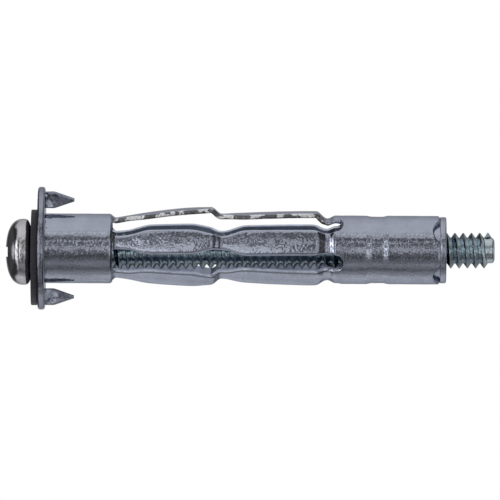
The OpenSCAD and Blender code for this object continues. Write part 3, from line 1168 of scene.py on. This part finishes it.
# The camera's distance and sensor, the width of its view, and how far the view's middle is
# from the anchor's middle along X and from its axis along Z
CAMERA_DISTANCE = 1.0
SENSOR_MM = 36
VIEW_WIDTH = 47.98
VIEW_SHIFT_X = -0.02
VIEW_SHIFT_Z = -0.07
VIEW_TURN = math.radians(-0.3)


def turned(nodes, rise, y):
    """Angle of a direction from the camera's, -Y, as 0 at -180 degrees to 1 at 180."""
    angle = nodes.math("ARCTAN2", rise, nodes.math("MULTIPLY", y, -1.0))
    return nodes.math("ADD", nodes.math("DIVIDE", angle, 2 * math.pi), 0.5)


def angle_ramp(nodes, turn, stops, most=1.0):
    """Brightness by angle, from stops of (degrees, brightness), as a share of the most."""
    return nodes.ramp(turn, [(degrees / 360 + 0.5, value / most) for degrees, value in stops])


def rising(nodes, value, start, end):
    """Rises smoothly from 0 where a value is at start to 1 where it is at end."""
    return nodes.add(
        "ShaderNodeMapRange",
        {"Value": value, "From Min": start, "From Max": end},
        interpolation_type="SMOOTHSTEP",
    ).outputs[0]


def mixed(nodes, share, first, second, blend="MIX"):
    """Mixes two colours."""
    inputs = {0: share, 6: first, 7: second}
    return nodes.add("ShaderNodeMix", inputs, data_type="RGBA", blend_type=blend).outputs[2]


def busy(nodes, way, turn):
    """Brighter and darker patches, where the room is busy."""
    patches = nodes.add(
        "ShaderNodeTexNoise", {"Vector": way, "Scale": CLUTTER_SCALE, "Detail": 1.0}
    ).outputs[0]
    change = nodes.add(
        "ShaderNodeMapRange",
        {"Value": patches, "From Min": 0.38, "From Max": 0.62, "To Min": -DARKER, "To Max": BRIGHTER},
    ).outputs[0]
    share = angle_ramp(nodes, turn, CLUTTER)
    return nodes.math("ADD", nodes.math("MULTIPLY", change, share), 1.0)


def make_world():
    """The studio: bands of panels round the screw's axis, and others to both sides of it. The
    camera itself sees plain white paper."""
    world = bpy.data.worlds.new("studio")
    bpy.context.scene.world = world
    world.use_nodes = True
    nodes = Nodes(world.node_tree)
    way = nodes.add("ShaderNodeTexCoord").outputs["Generated"]
    x, y, z = nodes.add("ShaderNodeSeparateXYZ", {0: way}).outputs
    turn = turned(nodes, z, y)
    room = angle_ramp(nodes, turn, BANDS, BRIGHTEST)
    side = angle_ramp(nodes, turned(nodes, x, y), SIDES, BRIGHTEST)
    height = nodes.math("ADD", nodes.math("DIVIDE", z, 2.0), 0.5)
    fade = nodes.ramp(height, [(at / 2 + 0.5, share) for at, share in HEIGHTS])
    side = mixed(nodes, 1.0, side, fade, "MULTIPLY")
    off_side = nodes.math("ABSOLUTE", x)
    level = rising(nodes, nodes.math("ABSOLUTE", z), 0.8, 0.5)
    near_side = nodes.math("MULTIPLY", rising(nodes, off_side, 0.12, 0.4), level)
    sideways = nodes.math("MAXIMUM", rising(nodes, off_side, 0.4, 0.65), near_side)
    room = mixed(nodes, sideways, room, side)
    end_light = (END_LIGHT / BRIGHTEST,) * 3 + (1,)
    room = mixed(nodes, rising(nodes, off_side, 0.94, 0.99), room, end_light)
    strength = nodes.math("MULTIPLY", busy(nodes, way, turn), BRIGHTEST * ROOM)
    panels = nodes.add("ShaderNodeBackground", {"Color": room, "Strength": strength})
    paper = nodes.add("ShaderNodeBackground", {"Color": (1, 1, 1, 1), "Strength": 1.0})
    seen = nodes.add("ShaderNodeLightPath").outputs["Is Camera Ray"]
    both = nodes.add("ShaderNodeMixShader", {0: seen, 1: panels.outputs[0], 2: paper.outputs[0]})
    nodes.add("ShaderNodeOutputWorld", {"Surface": both.outputs[0]})


def make_floor():
    """A wide pale floor well below the anchor."""
    bm = bmesh.new()
    bmesh.ops.create_grid(bm, x_segments=1, y_segments=1, size=FLOOR_HALF)
    mesh = bpy.data.meshes.new("floor")
    bm.to_mesh(mesh)
    bm.free()
    floor = bpy.data.objects.new("floor", mesh)
    floor.location = (0, 0, FLOOR_HEIGHT)
    bpy.context.scene.collection.objects.link(floor)
    material = bpy.data.materials.new("floor")
    material.use_nodes = True
    nodes = Nodes(material.node_tree)
    shader = nodes.add(
        "ShaderNodeBsdfPrincipled",
        {
            "Base Color": (0.9, 0.9, 0.9, 1),
            "Roughness": 0.8,
            "Emission Color": (1, 1, 1, 1),
            "Emission Strength": FLOOR_GLOW,
        },
    )
    nodes.add("ShaderNodeOutputMaterial", {"Surface": shader.outputs[0]})
    mesh.materials.append(material)
    floor.visible_glossy = False


def make_camera():
    """A long lens square to the anchor's side, turned very slightly about its own axis."""
    low, high = cad_box
    data = bpy.data.cameras.new("camera")
    data.sensor_width = SENSOR_MM
    data.lens = SENSOR_MM * CAMERA_DISTANCE / (VIEW_WIDTH * MM)
    camera = bpy.data.objects.new("camera", data)
    bpy.context.scene.collection.objects.link(camera)
    middle = (low.x + high.x) / 2
    camera.location = (middle + VIEW_SHIFT_X * MM, -CAMERA_DISTANCE, VIEW_SHIFT_Z * MM)
    camera.rotation_euler = (math.radians(90), VIEW_TURN, 0)
    bpy.context.scene.camera = camera


make_camera()
make_world()
make_floor()
bpy.context.scene.view_settings.view_transform = "Standard"

make_collar()
for number in range(1, LEGS + 1):
    make_leg(number)
make_tail()
make_flange()
make_nut()
make_washer()
make_screw()
